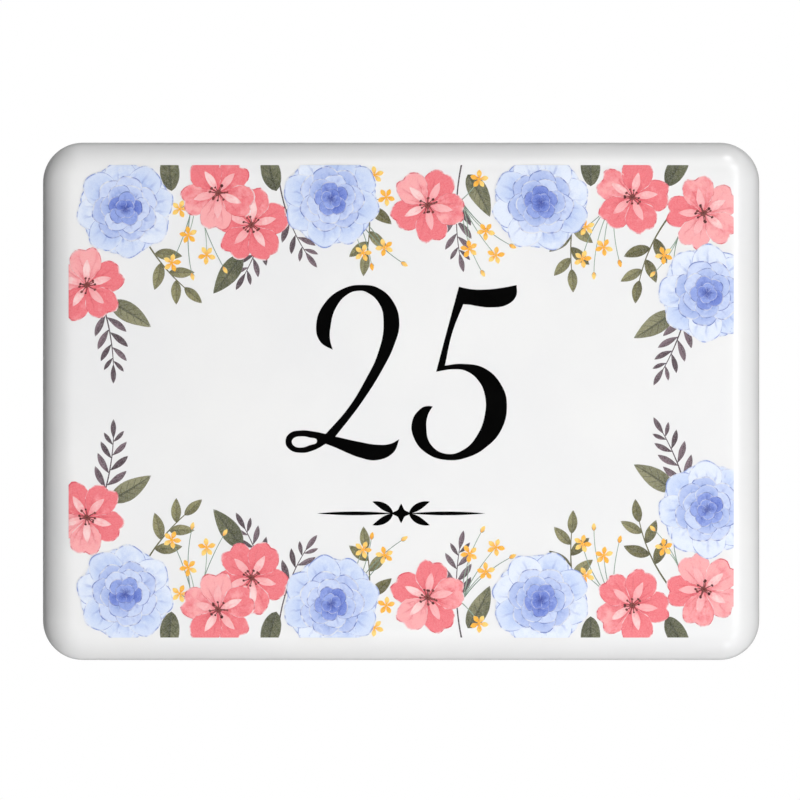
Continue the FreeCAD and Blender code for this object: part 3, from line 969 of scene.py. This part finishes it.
# On a grid 100 units high with its middle at the middle of the number. Each stroke runs through
# its points, and turns sharply only where one stroke meets the next.
twoStrokes = [
    [(-39, 13), (-46, 17.4), (-48.5, 26.5), (-43.5, 39.8), (-32, 48.4), (-22, 50), (-13, 48.3),
     (-4.2, 40), (-1, 28), (-4, 15.5), (-10, 3), (-22.5, -17), (-37.5, -36.5)],
    [(-37.5, -36.5), (-24, -39.5), (-13, -41.2), (-6.3, -40.7), (-1, -38)],
    [(-1, -38), (-4.4, -45.6), (-14, -50), (-24, -48.4), (-31, -45.7), (-37, -43), (-43, -40.7)],
    [(-43, -40.7), (-50, -44.4), (-57, -45.8), (-63.8, -43.8), (-66, -39.5), (-63.8, -34.8),
     (-57, -33), (-50, -33.6), (-43, -35)],
    [(-43, -35), (-30, -20), (-20, -3.5), (-13.2, 11), (-10, 28), (-12.2, 38.8), (-20, 46),
     (-24, 46.7), (-30, 45), (-37, 37.4), (-40.4, 25.5), (-40.6, 19), (-39, 13)],
]
twoEye = [
    [(-48, -39), (-52.6, -37), (-57, -36.4), (-61.2, -37.4), (-62.4, -39.5), (-61, -41.9),
     (-57, -42.8), (-52.6, -41.6), (-48, -39)],
]
fiveStrokes = [
    [(33, 49), (40, 47.6), (48, 47.4), (57, 48.3), (66, 50)],
    [(66, 50), (65.6, 43.6), (60.6, 38.8), (51, 37.2), (43.6, 37.9), (39.4, 38.7), (35.5, 39)],
    [(35.5, 39), (29.3, 23), (25, 4)],
    [(25, 4), (35, 5), (48, 2.3), (57.4, -7.4), (60.4, -18), (57, -33), (48, -43), (39, -48),
     (27, -50), (14.4, -46), (7, -36.6), (6.4, -27.6), (11.4, -20.4), (14.8, -19.1), (18, -19.3)],
    [(18, -19.3), (15.4, -24), (14.4, -31), (17, -41), (26, -46.4), (36, -43.8), (43.6, -35.5),
     (47.6, -25), (48, -14), (44.4, -5), (37, 0.9), (30, 1.9), (20, 0.5)],
    [(20, 0.5), (26.2, 24), (33, 49)],
]


firedBlack = {
    "dark": grey(0.0003), "light": grey(0.001), "cloud": 7.0, "grain": 0.35, "relief": 0.01,
    "rough": 0.22, "roughSwing": 0.08, "shine": 0.02,
}


def blackPaint():
    paint = newPaint("firedBlack")
    place = paint.millimetres()
    grain = paint.noise(place, firedBlack["grain"], 3.0, 2.0, 0.6)
    cloud = paint.step(paint.noise(place, firedBlack["cloud"]), 0.3, 0.7)
    return paint.finish({"Base Color": paint.mix(cloud, firedBlack["dark"], firedBlack["light"]),
                         "Roughness": firedBlack["rough"] + grain * firedBlack["roughSwing"],
                         "Specular IOR Level": firedBlack["shine"],
                         "Normal": paint.bump(grain, 0.1, firedBlack["relief"])})


black = blackPaint()


def makeFigures():
    level, foot, scale = figures["level"], film["foot"], figures["height"] / 100
    curve = bpy.data.curves.new("numerals", "CURVE")
    curve.dimensions = "2D"
    curve.fill_mode = "BOTH"
    curve.resolution_u = figures["smoothness"]
    curve.extrude = (level + foot) / 2 * mm
    for strokes in (twoStrokes, twoEye, fiveStrokes):
        knots = [(x * scale, z * scale + figures["lift"], place == 0 and len(strokes) > 1)
                 for stroke in strokes for place, (x, z) in enumerate(stroke[:-1])]
        spline = curve.splines.new("BEZIER")
        spline.bezier_points.add(len(knots) - 1)
        spline.use_cyclic_u = True
        for knot, (x, z, sharp) in zip(spline.bezier_points, knots):
            knot.co = (x * mm, z * mm, 0)
            knot.handle_left_type = knot.handle_right_type = "VECTOR" if sharp else "AUTO"
    drawn = newObject("numerals", curve)
    bpy.context.view_layer.update()
    depsgraph = bpy.context.evaluated_depsgraph_get()
    filled = bpy.data.meshes.new_from_object(drawn.evaluated_get(depsgraph))
    bpy.data.objects.remove(drawn)
    for corner in filled.vertices:            # the curve lies flat; stand it up on the face
        x, z, y = corner.co
        corner.co = (x, -(body["depth"] + (level - foot) / 2) * mm - y, z)
    filled.name = "numerals"
    filled.materials.clear()
    addPiece("numerals", filled, black, "print_numerals")


ornament = {
    "drop": 28.01, "width": 42.03, "rule": 0.92,
    "lozenge": 4.99, "hollow": 0.32, "sideSteps": 6,
    "leaf": 6.0, "leafWidth": 1.75, "spread": 34, "bend": 26,
    "root": 0.8,              # leaves and rules start this share of the way to the lozenge's tip
    "levels": (0.064, 0.06, 0.056),              # heights of the lozenge, the leaves and the rules
}


def makeOrnament():
    # A lozenge with hollow sides between two pairs of leaves, and a swelled rule each way.
    chance = random.Random(3)
    sheet = Sheet(mirrored=False)
    half, drop = ornament["lozenge"] / 2, -ornament["drop"]
    top, middle, low = ornament["levels"]
    outline = []
    for quarter in range(4):
        for step in range(ornament["sideSteps"]):
            share = step / ornament["sideSteps"]
            hollow = 1 - ornament["hollow"] * math.sin(math.pi * share)
            angle = math.radians(90 * (quarter + share))
            reach = half / (abs(math.cos(angle)) + abs(math.sin(angle))) * hollow
            outline.append((reach * math.cos(angle), drop + reach * math.sin(angle)))
    outline.append(outline[0])
    sheet.patch([[(0, drop)] * len(outline), outline], top, (0.5, 0.5))
    for way, side in ((0, 1), (180, -1)):
        start = side * half * ornament["root"]
        length = ornament["width"] / 2 - abs(start)
        sheet.patch(leafGrid(start, drop, way, length, ornament["rule"], 0.01, 0.5, 24), low,
                    (0.5, chance.random()))
        for spread in (-1, 1):
            sheet.patch(leafGrid(start, drop, way + spread * ornament["spread"], ornament["leaf"],
                                 ornament["leafWidth"], -spread * ornament["bend"], 0.45, 16),
                        middle, (0.5, chance.random()))
    sheet.make("ornament", black, "print_ornament")


makeFigures()
makeOrnament()
print("number and ornament made")
